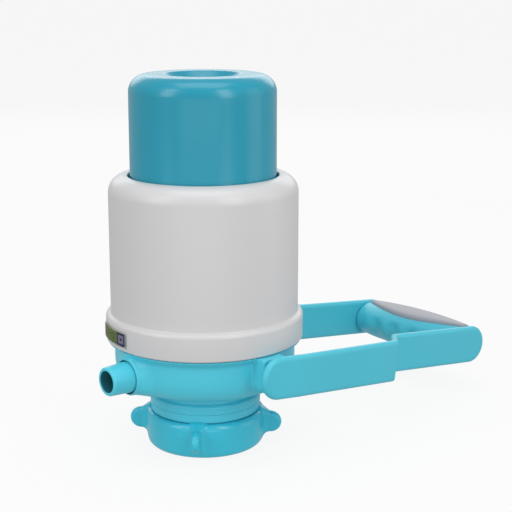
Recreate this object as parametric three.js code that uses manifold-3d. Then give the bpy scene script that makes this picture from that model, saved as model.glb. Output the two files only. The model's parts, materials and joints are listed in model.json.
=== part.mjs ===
// Hand press pump for a large water bottle, with a swinging carrying handle.
// Millimetres, +Z up. Every piece is drawn about the pump's own vertical axis, with z = 0 at the foot
// of the clamp ring, the spout along -X and the handle along +X. The last lines move the whole pump
// along X, so that the origin is under the middle of its bounding box.
import * as THREE from "three";
import { mergeVertices } from "three/addons/utils/BufferGeometryUtils.js";
import Module from "manifold-3d";

const wasm = await Module();
wasm.setup();

// ---- driving dimensions ----
const NECK_R = 27.7; // the 55 mm crown of the bottle's neck, with a little play
const WALL = 2.4; // moulded wall
const GAP = 0.3; // between pieces that touch on the real pump

const SHELL_R = 54.1;
const SKIRT_R = 57;
const SKIRT_BOTTOM_Z = 64.6;
const SKIRT_TOP_Z = 77;
const SHOULDER_Z = 149.4; // where the straight wall turns into the shoulder
const SHOULDER_ROUND = 10;
const OPENING_R = 42.9;
const LABEL_FROM = 150; // degrees from +X
const LABEL_TO = 182;
const LABEL_BOTTOM_Z = 67.4;
const LABEL_TOP_Z = 76;

const CAP_R = 41.6;
const CAP_WALL = 2.6;
const CAP_TOP_Z = 215.6;
const CAP_EDGE_R = 10; // rounding of the cap's top edge
const CAP_BOTTOM_Z = 140;
const CAP_STOP_Z = 155.4; // top of the stop rib that holds the cap in the shell
const DISH_R = 21.2;
const DISH_DEPTH = 4;

const DRUM_R = 52.3;
const DRUM_BOTTOM_Z = 37;
const DRUM_A = 14; // half axes of the drum's rounded bottom edge
const DRUM_B = 18;
const LIP_Z = 60.3; // foot of the bevel under the skirt
const COLLAR_R = 32.2;
const COLLAR_BOTTOM_Z = 20.9;
const SEAT_Z = 30.5; // underside of the plate that the neck's rim presses on
const DECK_Z = 66.3;
const DECK_THICK = 2.5;

const RING_R = 35;
const RING_TOP_Z = 20.6;
const WING_TIP_R = 45;
const WING_ROUND = 6.3;
const WING_THICK = 4.6;
const WING_TURN = 43.6; // degrees from +X to the first wing

const PIVOT_Z = 54.1;
const PIN_R = 3.9;
const EAR_FACE_Y = 61.8;
const EAR_HALF_WIDTH = 8;
const EAR_ROUND = 6.5; // lower corners of the ears
const EAR_BOTTOM_Z = 43.5;
const EAR_TOP_Z = 63;
const ARM_THICK = 4.6;
const ARM_HALF_HEIGHT = 12.1;
const ARM_OUTER_Y = 68; // outer face at the pivot
const ARM_JOG_START = [97, 62.8]; // outer face, along the arm and out from the middle
const ARM_JOG_END = [112.6, 47.8];
const ARM_REACH = 198.5;
const HANDLE_DROOP = 6.7; // degrees below level, resting on its stop

const SPOUT_Z = 50.3;
const SPOUT_TIP_X = -69.5;
const SPOUT_R = 8.85;
const SPOUT_TIP_R = 8.1;
const SPOUT_BORE_R = 6.15;
const SPOUT_COLLAR_R = 10.7;
const SPOUT_COLLAR_X = -56;

const BELLOWS_R = 36;
const BELLOWS_ROOT_R = 30;
const BELLOWS_FOLDS = 7;
const TOP_PLATE_Z = 205.2;

const ROUND = 40; // sides of the big round pieces
const HIDDEN_ROUND = 28; // sides of the round pieces inside
const SMALL_ROUND = 20;

// ---- materials ----
const plastic = (color, roughness) =>
  new THREE.MeshStandardMaterial({ color, roughness, metalness: 0 });
const turquoise = plastic(0x4fb3c8, 0.35);
const white = plastic(0xc9c9cb, 0.4);
const milky = plastic(0xe4e6e3, 0.5);
const rubber = plastic(0x2a2c2e, 0.85);
const labelGreen = plastic(0x86a052, 0.5);
const steel = new THREE.MeshStandardMaterial({ color: 0xb9bcc0, roughness: 0.3, metalness: 1 });

// ---- geometry helpers ----

// A closed geometry as a manifold-3d solid.
function solid(geometry) {
  const bare = geometry.index ? geometry.toNonIndexed() : geometry.clone();
  bare.deleteAttribute("normal");
  bare.deleteAttribute("uv");
  const merged = mergeVertices(bare, 1e-4);
  const vertProperties = merged.attributes.position.array;
  const triVerts = new Uint32Array(merged.index.array);
  return new wasm.Manifold(new wasm.Mesh({ numProp: 3, vertProperties, triVerts }));
}

// A solid back as a three.js geometry.
function geometryOf(manifold) {
  const mesh = manifold.getMesh();
  const stride = mesh.numProp;
  const positions = new Float32Array(mesh.numVert * 3);
  for (let i = 0; i < mesh.numVert; i++) {
    positions.set(mesh.vertProperties.subarray(i * stride, i * stride + 3), i * 3);
  }
  const geometry = new THREE.BufferGeometry();
  geometry.setAttribute("position", new THREE.BufferAttribute(positions, 3));
  geometry.setIndex(new THREE.BufferAttribute(mesh.triVerts, 1));
  geometry.computeVertexNormals();
  return geometry;
}

const join = (first, ...rest) => rest.reduce((all, next) => all.add(next), first);
const cut = (body, ...tools) => tools.reduce((left, tool) => left.subtract(tool), body);

// Twice the signed area of a closed outline, which is positive when it runs anticlockwise.
const turning = (points) =>
  points.reduce((sum, [x, y], i) => {
    const [nextX, nextY] = points[(i + 1) % points.length];
    return sum + x * nextY - nextX * y;
  }, 0);

// A body of revolution about Z from an outline of [radius, z] points.
function turned(points, sides = ROUND) {
  const ordered = turning(points) > 0 ? points : [...points].reverse();
  const closed = [...ordered, ordered[0]];
  const profile = closed.map(([r, z]) => new THREE.Vector2(r, z));
  return new THREE.LatheGeometry(profile, sides).rotateX(Math.PI / 2);
}

// A flat ring or disc between two heights.
const washer = (inner, outer, low, high, sides = ROUND) =>
  turned([[inner, low], [outer, low], [outer, high], [inner, high]], sides);

const disc = (radius, low, high, sides = SMALL_ROUND) => washer(0, radius, low, high, sides);

// Points of an elliptical arc, in degrees.
function arc(cx, cy, a, b, from, to, steps) {
  return Array.from({ length: steps + 1 }, (_, i) => {
    const turn = THREE.MathUtils.degToRad(from + ((to - from) * i) / steps);
    return [cx + a * Math.cos(turn), cy + b * Math.sin(turn)];
  });
}

// An outline in the XY plane raised from z = low to z = high.
function raised(points, low, high) {
  const ordered = turning(points) > 0 ? points : [...points].reverse();
  const shape = new THREE.Shape(ordered.map(([x, y]) => new THREE.Vector2(x, y)));
  const options = { depth: high - low, bevelEnabled: false };
  return new THREE.ExtrudeGeometry(shape, options).translate(0, 0, low);
}

// An outline of [x, z] points carried along Y between two distances.
const across = (points, oneY, otherY) =>
  raised(points, -Math.max(oneY, otherY), -Math.min(oneY, otherY)).rotateX(Math.PI / 2);

const box = (x, y, z, cx, cy, cz) => new THREE.BoxGeometry(x, y, z).translate(cx, cy, cz);

// A round bar or hole along X at the spout's height.
const alongSpout = (radiusAtFrom, radiusAtTo, fromX, toX) =>
  turned([[0, fromX], [radiusAtFrom, fromX], [radiusAtTo, toX], [0, toX]], SMALL_ROUND)
    .rotateY(Math.PI / 2)
    .translate(0, 0, SPOUT_Z);

// A round bar or hole along Y at the handle's pivot.
const alongPivot = (radius, fromY, toY) =>
  disc(radius, -toY, -fromY).rotateX(Math.PI / 2).translate(0, 0, PIVOT_Z);

// ---- the pump's moving cap and its shell ----

function pressCap() {
  const edge = CAP_R - CAP_EDGE_R;
  const edgeZ = CAP_TOP_Z - CAP_EDGE_R;
  const inner = CAP_R - CAP_WALL;
  const dishZ = CAP_TOP_Z - DISH_DEPTH;
  const outline = [
    [0, dishZ - CAP_WALL],
    [DISH_R - 4, dishZ - CAP_WALL],
    [DISH_R, CAP_TOP_Z - CAP_WALL],
    ...arc(edge, edgeZ, CAP_EDGE_R - CAP_WALL, CAP_EDGE_R - CAP_WALL, 90, 0, 3),
    [inner, CAP_BOTTOM_Z],
    [CAP_R, CAP_BOTTOM_Z],
    [CAP_R, CAP_STOP_Z - WALL],
    [CAP_R + 4.4, CAP_STOP_Z - WALL],
    [CAP_R + 4.4, CAP_STOP_Z],
    [CAP_R, CAP_STOP_Z],
    ...arc(edge, edgeZ, CAP_EDGE_R, CAP_EDGE_R, 0, 90, 5),
    [DISH_R + 0.6, CAP_TOP_Z],
    [DISH_R - 0.4, CAP_TOP_Z - 0.7],
    [DISH_R - 2.4, dishZ + 0.6],
    [DISH_R - 4.4, dishZ],
    [0, dishZ],
  ];
  return turned(outline);
}

function outerShell() {
  const centreR = SHELL_R - SHOULDER_ROUND;
  const inner = SHOULDER_ROUND - WALL;
  const openingTurn = THREE.MathUtils.radToDeg(Math.acos((OPENING_R - centreR) / inner));
  const outline = [
    [SKIRT_R - WALL, SKIRT_BOTTOM_Z],
    [SKIRT_R - 0.8, SKIRT_BOTTOM_Z],
    [SKIRT_R - 0.1, SKIRT_BOTTOM_Z + 0.9],
    ...arc(SHELL_R, SKIRT_TOP_Z - 0.2, SKIRT_R - SHELL_R, 3.2, 0, 80, 4),
    [SHELL_R, SKIRT_TOP_Z + 3.6],
    ...arc(centreR, SHOULDER_Z, SHOULDER_ROUND, SHOULDER_ROUND, 0, 90, 7),
    [OPENING_R, SHOULDER_Z + SHOULDER_ROUND - 0.4],
    ...arc(centreR, SHOULDER_Z, inner, inner, openingTurn, 0, 4),
    [SHELL_R - WALL, SKIRT_TOP_Z + 3],
    [SKIRT_R - WALL, SKIRT_TOP_Z - 1],
  ];
  return turned(outline);
}

// A plain two-colour sticker's backing on the skirt, beside the point above the spout.
function skirtLabel() {
  const inner = SKIRT_R + GAP;
  const outer = inner + 0.4;
  const patch = [
    ...arc(0, 0, outer, outer, LABEL_FROM, LABEL_TO, 6),
    ...arc(0, 0, inner, inner, LABEL_TO, LABEL_FROM, 6),
  ];
  return raised(patch, LABEL_BOTTOM_Z, LABEL_TOP_Z);
}

// ---- the base: drum, lip, neck collar, ears and spout root in one moulding ----

function baseBody() {
  const centreR = DRUM_R - DRUM_A;
  const centreZ = DRUM_BOTTOM_Z + DRUM_B;
  const innerA = DRUM_A - WALL;
  const innerB = DRUM_B - WALL - 0.6;
  const innerR = DRUM_R - WALL;
  const sleeveR = RING_R - 4.4;
  const tongueR = SKIRT_R - WALL - GAP;
  const plateTop = SEAT_Z + 3.7;
  const revolved = turned([
    [5, SEAT_Z],
    [29, SEAT_Z],
    [29, 7.6],
    [sleeveR, 7.6],
    [sleeveR, COLLAR_BOTTOM_Z],
    [COLLAR_R - 0.3, COLLAR_BOTTOM_Z],
    [COLLAR_R, COLLAR_BOTTOM_Z + 4.7],
    [COLLAR_R - 0.5, COLLAR_BOTTOM_Z + 5.1],
    [COLLAR_R + 0.5, DRUM_BOTTOM_Z],
    ...arc(centreR, centreZ, DRUM_A, DRUM_B, -90, 0, 6),
    [DRUM_R, LIP_Z],
    [SKIRT_R - 0.7, LIP_Z + 3.7],
    [SKIRT_R - 0.7, SKIRT_BOTTOM_Z - GAP],
    [tongueR, SKIRT_BOTTOM_Z - GAP],
    [tongueR, 72],
    [innerR + 1.2, 72],
    [innerR + 1.2, DECK_Z - GAP],
    [innerR, DECK_Z - GAP],
    ...arc(centreR, centreZ, innerA, innerB, 0, -90, 4),
    [31, centreZ - innerB],
    [29.4, plateTop],
    [5, plateTop],
  ]);
  const well = turned([
    [0, SEAT_Z + 4.2],
    [innerR - 14, SEAT_Z + 12],
    [innerR - GAP, centreZ],
    [innerR - GAP, DECK_Z + 6],
    [0, DECK_Z + 6],
  ]);
  const earCornerX = EAR_HALF_WIDTH - EAR_ROUND;
  const earCornerZ = EAR_BOTTOM_Z + EAR_ROUND;
  const earShape = [
    [-EAR_HALF_WIDTH, EAR_TOP_Z],
    ...arc(-earCornerX, earCornerZ, EAR_ROUND, EAR_ROUND, 180, 270, 4),
    ...arc(earCornerX, earCornerZ, EAR_ROUND, EAR_ROUND, 270, 360, 4),
    [EAR_HALF_WIDTH, EAR_TOP_Z],
  ];
  const ear = (side) => solid(across(earShape, 44 * side, EAR_FACE_Y * side));
  const bearing = (side) => solid(alongPivot(PIN_R + 0.4, 44 * side, 64 * side));
  const rootBlock = solid(
    raised(
      [[-44, -13], [-47.5, -13.2], [-51, -11.4], [-53.4, -9], [-53.4, 9], [-51, 11.4], [-47.5, 13.2], [-44, 13]],
      SPOUT_Z - 9.2,
      SPOUT_Z + 9.2,
    ),
  );
  const spoutCollar = join(
    solid(alongSpout(SPOUT_COLLAR_R - 0.8, SPOUT_COLLAR_R, SPOUT_COLLAR_X, SPOUT_COLLAR_X + 0.9)),
    solid(alongSpout(SPOUT_COLLAR_R, SPOUT_COLLAR_R, SPOUT_COLLAR_X + 0.9, -45)),
  );
  const outside = join(ear(1), ear(-1), rootBlock, spoutCollar).subtract(solid(well));
  const airPorts = [60, 180, 300].map((degrees) => {
    const turn = THREE.MathUtils.degToRad(degrees);
    const port = disc(2.2, SEAT_Z - 1, plateTop + 1, 12);
    return solid(port.translate(15 * Math.cos(turn), 15 * Math.sin(turn), 0));
  });
  const spoutHole = solid(alongSpout(SPOUT_R + 0.35, SPOUT_R + 0.35, -60, -43));
  const ringSeat = solid(alongSpout(SPOUT_R + 1.15, SPOUT_R + 1.15, -57, SPOUT_COLLAR_X + 1.4));
  return geometryOf(
    cut(join(solid(revolved), outside), bearing(1), bearing(-1), spoutHole, ringSeat, ...airPorts),
  );
}

function spoutNozzle() {
  const tube = join(
    solid(alongSpout(SPOUT_TIP_R - 0.9, SPOUT_TIP_R, SPOUT_TIP_X, SPOUT_TIP_X + 1.6)),
    solid(alongSpout(SPOUT_TIP_R, SPOUT_R, SPOUT_TIP_X + 1.6, SPOUT_COLLAR_X)),
    solid(alongSpout(SPOUT_R, SPOUT_R, SPOUT_COLLAR_X, -44)),
  );
  const bore = solid(alongSpout(SPOUT_BORE_R, SPOUT_BORE_R, SPOUT_TIP_X - 1, -43));
  return geometryOf(tube.subtract(bore));
}

const spoutRing = () =>
  turned(arc(SPOUT_R + 0.68, SPOUT_COLLAR_X + 0.72, 0.38, 0.5, 0, 300, 5), SMALL_ROUND)
    .rotateY(Math.PI / 2)
    .translate(0, 0, SPOUT_Z);

// The elbow inside the drum that leads from the dip tube's socket to the spout.
function outletElbow() {
  const riser = solid(disc(7.6, SEAT_Z + 4, SPOUT_Z + 7.6));
  const run = solid(alongSpout(7.4, 7.4, -43.6, 0));
  const riserBore = solid(disc(4.8, SEAT_Z, SPOUT_Z + 4));
  const runBore = solid(alongSpout(5, 5, -44, 0));
  return geometryOf(cut(riser.add(run), riserBore, runBore));
}

// ---- the neck: clamp ring, split collet, gasket and dip tube socket ----

function clampRing() {
  const ring = turned([
    [29.1, 0],
    [31.2, 0],
    [33.2, 1.2],
    [34.2, 4],
    [RING_R, 13],
    ...arc(RING_R - 2.6, RING_TOP_Z - 4.4, 2.6, 4.4, 0, 90, 4),
    [RING_R - 4.1, RING_TOP_Z],
    [RING_R - 4.1, 7],
    [29.1, 7],
  ]);
  const wingOutline = [
    [RING_R - 3.6, 20.4],
    [RING_R - 1.5, 20],
    ...arc(WING_TIP_R - WING_ROUND, 12.4, WING_ROUND, WING_ROUND, 68, -72, 8),
    [RING_R - 2.6, 5.2],
  ];
  const wings = [0, 90, 180, 270].map((degrees) => {
    const wing = across(wingOutline, -WING_THICK / 2, WING_THICK / 2);
    return solid(wing.rotateZ(THREE.MathUtils.degToRad(WING_TURN + degrees)));
  });
  return geometryOf(join(solid(ring), ...wings));
}

function neckCollet() {
  const sleeve = solid(washer(NECK_R, NECK_R + 1, 2.2, 27.4, HIDDEN_ROUND));
  const slits = [0, 60, 120].map((degrees) =>
    solid(box(80, 2, 19, 0, 0, 11).rotateZ(THREE.MathUtils.degToRad(degrees))),
  );
  return geometryOf(cut(sleeve, ...slits));
}

const neckGasket = () => washer(19, NECK_R - 0.5, SEAT_Z - 2.5, SEAT_Z - GAP, HIDDEN_ROUND);

function dipTubeSocket() {
  return turned(
    [
      [3.2, 10],
      [4.6, 10],
      [5, 11],
      [5, SEAT_Z - 2.6],
      [12, SEAT_Z - 2.6],
      [12, SEAT_Z - GAP],
      [4.4, SEAT_Z - GAP],
      [4.4, SEAT_Z + 9.5],
      [3.2, SEAT_Z + 9.5],
    ],
    SMALL_ROUND,
  );
}

// ---- the bellows and its fittings ----

// A plate with a middle hole for a valve's stem and a ring of air holes.
function portedPlate(radius, low, high) {
  const holes = Array.from({ length: 6 }, (_, i) => {
    const turn = (i * Math.PI) / 3;
    const hole = disc(1.7, low - 1, high + 1, 12);
    return solid(hole.translate(7 * Math.cos(turn), 7 * Math.sin(turn), 0));
  });
  return geometryOf(cut(solid(washer(2.2, radius, low, high, HIDDEN_ROUND)), ...holes));
}

// A rubber flap on a stem: the flap hangs under a plate and its stem is pulled through the middle hole.
const flapValve = (plateLow, plateHigh) =>
  turned(
    [
      [0, plateLow - 1.9],
      [4, plateLow - 1.9],
      [10, plateLow - 1.1],
      [10, plateLow - GAP],
      [1.8, plateLow - GAP],
      [1.8, plateHigh + 0.2],
      [0, plateHigh + 0.2],
    ],
    SMALL_ROUND,
  );

function bellows() {
  const thick = 1.4;
  const foot = DECK_Z + DECK_THICK + GAP;
  const top = TOP_PLATE_Z - GAP;
  const pitch = (top - foot - 2 * 4) / BELLOWS_FOLDS;
  const outside = [];
  const inside = [];
  for (let i = 0; i <= BELLOWS_FOLDS; i++) {
    const z = foot + 4 + i * pitch;
    outside.push([BELLOWS_ROOT_R + thick, z]);
    inside.push([BELLOWS_ROOT_R, z]);
    if (i < BELLOWS_FOLDS) {
      outside.push([BELLOWS_R, z + pitch / 2 - 0.9], [BELLOWS_R, z + pitch / 2 + 0.9]);
      inside.push([BELLOWS_R - thick * 1.3, z + pitch / 2]);
    }
  }
  return turned(
    [
      [BELLOWS_ROOT_R, foot],
      [40, foot],
      [40, foot + 2],
      [BELLOWS_ROOT_R + thick, foot + 2],
      ...outside,
      [BELLOWS_ROOT_R + thick, top - 2],
      [BELLOWS_R, top - 2],
      [BELLOWS_R, top],
      [BELLOWS_ROOT_R, top],
      ...inside.reverse(),
    ],
    HIDDEN_ROUND,
  );
}

function bellowsClamp() {
  const foot = DECK_Z + DECK_THICK + GAP;
  return turned([
    [40.4, foot],
    [44, foot],
    [44, foot + 5],
    [37.8, foot + 5],
    [37.8, foot + 2.4],
    [40.4, foot + 2.4],
  ], HIDDEN_ROUND);
}

// ---- the handle, drawn level along +X from the pivot, with z = 0 on its middle line ----

// One arm on the +Y side: its plan crossed with its side view, and a blind hole for the pin.
function handleArm() {
  const [jogX, jogY] = ARM_JOG_START;
  const [straightX, straightY] = ARM_JOG_END;
  const plan = [
    [-14, ARM_OUTER_Y],
    [14, ARM_OUTER_Y],
    [jogX - 2.6, jogY + 0.15],
    [jogX, jogY - 0.75],
    [straightX - 1, straightY + 0.9],
    [straightX + 1.6, straightY],
    [ARM_REACH + 2, straightY],
    [ARM_REACH + 2, straightY - ARM_THICK],
    [straightX + 1, straightY - ARM_THICK],
    [jogX + 1.2, jogY - ARM_THICK],
    [14, ARM_OUTER_Y - ARM_THICK],
    [-14, ARM_OUTER_Y - ARM_THICK],
  ];
  const farEnd = ARM_REACH - ARM_HALF_HEIGHT;
  const side = [
    ...arc(farEnd, 0, ARM_HALF_HEIGHT, ARM_HALF_HEIGHT, -90, 90, 12),
    ...arc(0, 0, ARM_HALF_HEIGHT + 0.3, ARM_HALF_HEIGHT + 0.3, 90, 270, 12),
  ];
  const blank = solid(raised(plan, -20, 20)).intersect(solid(across(side, 30, 80)));
  const hole = disc(PIN_R + GAP, -66.7, -50).rotateX(Math.PI / 2);
  return blank.subtract(solid(hole));
}

// The hand grip's barrel between the arms, wider and deeper in the middle, or fatter all round by extra.
function gripBarrel(halfLength, extra) {
  const barrel = new THREE.CylinderGeometry(1, 1, 2 * halfLength, 28, 10);
  const position = barrel.attributes.position;
  for (let i = 0; i < position.count; i++) {
    const y = position.getY(i);
    const swell = 1 - (y / halfLength) ** 2;
    const halfWidth = 12.6 + 5.6 * swell + extra;
    const halfHeight = 10.6 + 1.9 * swell + extra;
    const middle = ARM_REACH - 15.8;
    position.setXYZ(i, middle + halfWidth * position.getX(i), y, halfHeight * position.getZ(i));
  }
  return solid(barrel);
}

// The lens-shaped outline of the insert's pocket, seen from above.
function insertOutline(grow) {
  const points = (bulge, end, steps) =>
    Array.from({ length: steps + 1 }, (_, i) => {
      const y = 41 * (1 - (2 * i) / steps);
      return [end + (bulge - end) * (1 - (y / 41) ** 2), y];
    });
  const near = points(171 - grow, 182 - grow, 12);
  const far = points(206, 196, 6).reverse();
  return [...near, ...far];
}

function gripBody() {
  const pocket = solid(raised(insertOutline(GAP), 8.2, 20));
  return gripBarrel(42.9, 0).subtract(pocket);
}

function gripInsert() {
  const slab = solid(raised(insertOutline(0), 8.5, 20));
  return gripBarrel(42.9, 1.9).intersect(slab);
}

// ---- assembly ----

const pump = new THREE.Group();
const handle = new THREE.Group();
handle.position.z = PIVOT_Z;
handle.rotation.y = THREE.MathUtils.degToRad(HANDLE_DROOP);
pump.add(handle);

function place(parent, name, geometry, material) {
  const mesh = new THREE.Mesh(geometry, material);
  mesh.name = name;
  parent.add(mesh);
}

place(pump, "outer_shell", outerShell(), white);
place(pump, "skirt_label", skirtLabel(), labelGreen);
place(pump, "base_body", baseBody(), turquoise);
place(pump, "spout_nozzle", spoutNozzle(), turquoise);
place(pump, "spout_o_ring", spoutRing(), rubber);
place(pump, "outlet_elbow", outletElbow(), milky);
place(pump, "deck_plate", portedPlate(50.6, DECK_Z, DECK_Z + DECK_THICK), milky);
place(pump, "air_check_flap", flapValve(DECK_Z, DECK_Z + DECK_THICK), rubber);
place(pump, "bellows_clamp_ring", bellowsClamp(), milky);
place(pump, "bellows", bellows(), rubber);
place(pump, "neck_collet", neckCollet(), milky);
place(pump, "neck_gasket", neckGasket(), rubber);
place(pump, "dip_tube_socket", dipTubeSocket(), milky);
place(pump, "clamp_ring", clampRing(), turquoise);
place(pump, "press_cap", pressCap(), turquoise);
place(pump, "bellows_top_plate", portedPlate(37, TOP_PLATE_Z, TOP_PLATE_Z + DECK_THICK), milky);
place(pump, "air_inlet_flap", flapValve(TOP_PLATE_Z, TOP_PLATE_Z + DECK_THICK), rubber);

for (const [side, word] of [[-1, "near"], [1, "far"]]) {
  const arm = side > 0 ? handleArm() : handleArm().mirror([0, 1, 0]);
  place(handle, `handle_arm_${word}`, geometryOf(arm), turquoise);
  const pin = disc(PIN_R, -side * 66.4, -side * 50).rotateX(Math.PI / 2);
  place(handle, `pivot_pin_${word}`, pin, steel);
  const face = washer(PIN_R + 0.5, 7.8, -side * 63.1, -side * 62.1, SMALL_ROUND).rotateX(Math.PI / 2);
  place(pump, `pivot_washer_${word}`, face.translate(0, 0, PIVOT_Z), milky);
}
place(handle, "grip_body", geometryOf(gripBody()), turquoise);
place(handle, "grip_insert", geometryOf(gripInsert()), white);

pump.updateMatrixWorld(true);
const extent = new THREE.Box3().setFromObject(pump);
pump.position.x = -(extent.min.x + extent.max.x) / 2;

const part = new THREE.Group();
part.add(pump);
export default part;
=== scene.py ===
# %% [markdown]
# # A hand press pump for a large water bottle
# The real pump is a handful of moulded plastic parts: a cap that the palm pushes down, a shell that guides
# it, a base with a spout, a ring with wings that clamps on the bottle's neck, and a carrying handle.
# Every piece below is drawn in millimetres about the pump's own axis, as on a workshop drawing, and is
# moved into the frame's metres as the last thing. The frame says where that axis is.
# %% Load the frame
import json
import math

import bmesh
import bpy
import numpy as np
from mathutils import Matrix, Vector


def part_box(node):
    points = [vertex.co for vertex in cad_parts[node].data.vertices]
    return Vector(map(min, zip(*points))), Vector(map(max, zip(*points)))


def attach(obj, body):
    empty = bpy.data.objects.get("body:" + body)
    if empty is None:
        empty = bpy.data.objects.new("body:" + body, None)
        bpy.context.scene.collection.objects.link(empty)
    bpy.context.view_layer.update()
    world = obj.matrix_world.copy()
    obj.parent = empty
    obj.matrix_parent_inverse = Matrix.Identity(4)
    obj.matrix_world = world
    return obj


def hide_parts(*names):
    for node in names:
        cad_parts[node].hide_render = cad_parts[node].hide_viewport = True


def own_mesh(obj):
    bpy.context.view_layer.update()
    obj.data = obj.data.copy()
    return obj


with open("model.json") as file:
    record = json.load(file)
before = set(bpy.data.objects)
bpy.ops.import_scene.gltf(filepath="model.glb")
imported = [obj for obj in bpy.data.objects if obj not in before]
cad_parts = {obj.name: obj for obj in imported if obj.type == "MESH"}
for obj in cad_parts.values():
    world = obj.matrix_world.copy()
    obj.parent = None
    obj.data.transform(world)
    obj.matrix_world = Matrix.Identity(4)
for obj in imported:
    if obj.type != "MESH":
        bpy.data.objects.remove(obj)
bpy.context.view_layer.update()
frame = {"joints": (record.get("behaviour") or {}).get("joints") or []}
MM = 0.001
cap_low, cap_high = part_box("press_cap")
AXIS_X = (cap_low.x + cap_high.x) / 2
joints = {joint["name"]: joint for joint in frame["joints"]}
PIVOT_Z = joints["handle_swing"]["pos_m"][2] / MM
print("pump axis at x =", round(AXIS_X, 5), "m, handle pivot", round(PIVOT_Z, 2), "mm up")

# %% [markdown]
# ## The camera
# A long lens from a little above eye level keeps the upright walls nearly parallel, which shows the pump's
# true proportions. Its place is counted from the pump's axis.
# %% Camera
CAMERA_PLACE = (-0.4411, -0.5565, 0.2730)  # from the pump's axis, in metres
CAMERA_HEADING = 40.81  # degrees to the right of +Y
CAMERA_DIP = 12.84  # degrees below level
SENSOR_WIDTH, LENS = 36, 88.9  # millimetres
camera = bpy.data.objects.new("camera", bpy.data.cameras.new("camera"))
camera.data.sensor_width = SENSOR_WIDTH
camera.data.lens = LENS
camera.location = (AXIS_X + CAMERA_PLACE[0], CAMERA_PLACE[1], CAMERA_PLACE[2])
camera.rotation_euler = (math.radians(90 - CAMERA_DIP), 0, -math.radians(CAMERA_HEADING))
bpy.context.scene.collection.objects.link(camera)
bpy.context.scene.camera = camera
bpy.context.scene.view_settings.view_transform = "Standard"
print("camera", [round(v, 4) for v in camera.location])

# %% [markdown]
# ## Two small languages for materials
# A material is a net of nodes, but the sums in it read better as sums. `Value` wraps a socket so that
# `1 - mask` or `cloud * 0.1` adds the Math node by itself. Any other node comes from one method, `node`,
# which takes the node's type, its settings and what goes into its sockets.
# %% Shader maths
class Value:
    """One output of a shader node, which + - * < > turn into Math nodes, with numbers or other values."""

    def __init__(self, finish, socket):
        self.finish, self.socket = finish, socket

    def sum(self, operation, first, second):
        return self.finish.node("ShaderNodeMath", {"operation": operation}, {0: first, 1: second})

    def __add__(self, other):
        return self.sum("ADD", self, other)

    def __radd__(self, other):
        return self.sum("ADD", other, self)

    def __sub__(self, other):
        return self.sum("SUBTRACT", self, other)

    def __rsub__(self, other):
        return self.sum("SUBTRACT", other, self)

    def __mul__(self, other):
        return self.sum("MULTIPLY", self, other)

    def __rmul__(self, other):
        return self.sum("MULTIPLY", other, self)

    def __gt__(self, other):
        return self.sum("GREATER_THAN", self, other)

    def __lt__(self, other):
        return self.sum("LESS_THAN", self, other)


class Finish:
    """A new material with its Principled shader at hand."""

    def __init__(self, name):
        self.material = bpy.data.materials.new(name)
        self.material.use_nodes = True
        self.tree = self.material.node_tree
        self.shader = self.tree.nodes["Principled BSDF"]

    def node(self, kind, settings=None, inputs=None, output=0):
        made = self.tree.nodes.new(kind)
        for setting, value in (settings or {}).items():
            setattr(made, setting, value)
        for socket, value in (inputs or {}).items():
            self.feed(made.inputs[socket], value)
        return Value(self, made.outputs[output])

    def feed(self, socket, value):
        if isinstance(value, Value):
            self.tree.links.new(value.socket, socket)
        else:
            socket.default_value = value

    def set(self, **sockets):
        for name, value in sockets.items():
            self.feed(self.shader.inputs[name.replace("_", " ")], value)

    def place(self):
        return self.node("ShaderNodeTexCoord", output="Object")

    def place_from(self, origin):
        """Object coordinates counted from that point."""
        return self.node("ShaderNodeVectorMath", {"operation": "SUBTRACT"}, {0: self.place(), 1: origin})

    def noise(self, size_mm, detail, stretch=(1, 1, 1)):
        """A cloudy number around 0.5 whose blobs are about that size."""
        scaled = self.node("ShaderNodeVectorMath", {"operation": "MULTIPLY"}, {0: self.place(), 1: stretch})
        inputs = {"Vector": scaled, "Scale": 1 / (size_mm * MM), "Detail": detail}
        return self.node("ShaderNodeTexNoise", {}, inputs)

    def blend(self, share, first, second):
        settings = {"data_type": "RGBA", "clamp_factor": True}
        inputs = {0: share, 6: first, 7: second}
        return self.node("ShaderNodeMix", settings, inputs, output=2)

    def bump(self, height, depth_mm, strength):
        inputs = {"Height": height, "Distance": depth_mm * MM, "Strength": strength}
        return self.node("ShaderNodeBump", {}, inputs, output="Normal")


def colour(red, green, blue):
    """A colour as seen on a screen, 0 to 255, in the linear numbers that a shader takes."""
    channels = [value / 255 for value in (red, green, blue)]
    linear = [c / 12.92 if c < 0.04045 else ((c + 0.055) / 1.055) ** 2.4 for c in channels]
    return (*linear, 1.0)


def shade(tint, amount):
    return (*[min(1.0, channel * amount) for channel in tint[:3]], 1.0)


print("shader helpers ready")

# %% [markdown]
# ## The finishes
# Moulded polypropylene is never quite even. The colour drifts a little where the melt flowed, the gloss is
# broken by faint handling marks, and the mould's own fine grain shows in the highlights. All the hard
# plastics share one recipe with other numbers in it.
# %% Moulded plastic
PLASTIC_IOR = 1.49
HANDLING_MARKS = 0.10  # how far they move the roughness
GRAIN_MM, GRAIN_DEEP = 0.35, 0.006
GRAIN_STRENGTH = 0.35


def moulded(name, tint, roughness, drift=0.05):
    finish = Finish(name)
    flow = finish.noise(38, 3.0, stretch=(1, 1, 0.45))
    speckle = finish.noise(0.9, 1.0)
    share = flow * 0.8 + speckle * 0.2
    finish.set(Base_Color=finish.blend(share, shade(tint, 1 - drift), shade(tint, 1 + drift)))
    handling = finish.noise(7, 4.0, stretch=(1, 1, 0.3))
    finish.set(Roughness=handling * HANDLING_MARKS + (roughness - HANDLING_MARKS / 2))
    finish.set(Normal=finish.bump(finish.noise(GRAIN_MM, 2.0), GRAIN_DEEP, GRAIN_STRENGTH))
    finish.shader.inputs["IOR"].default_value = PLASTIC_IOR
    return finish.material


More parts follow.
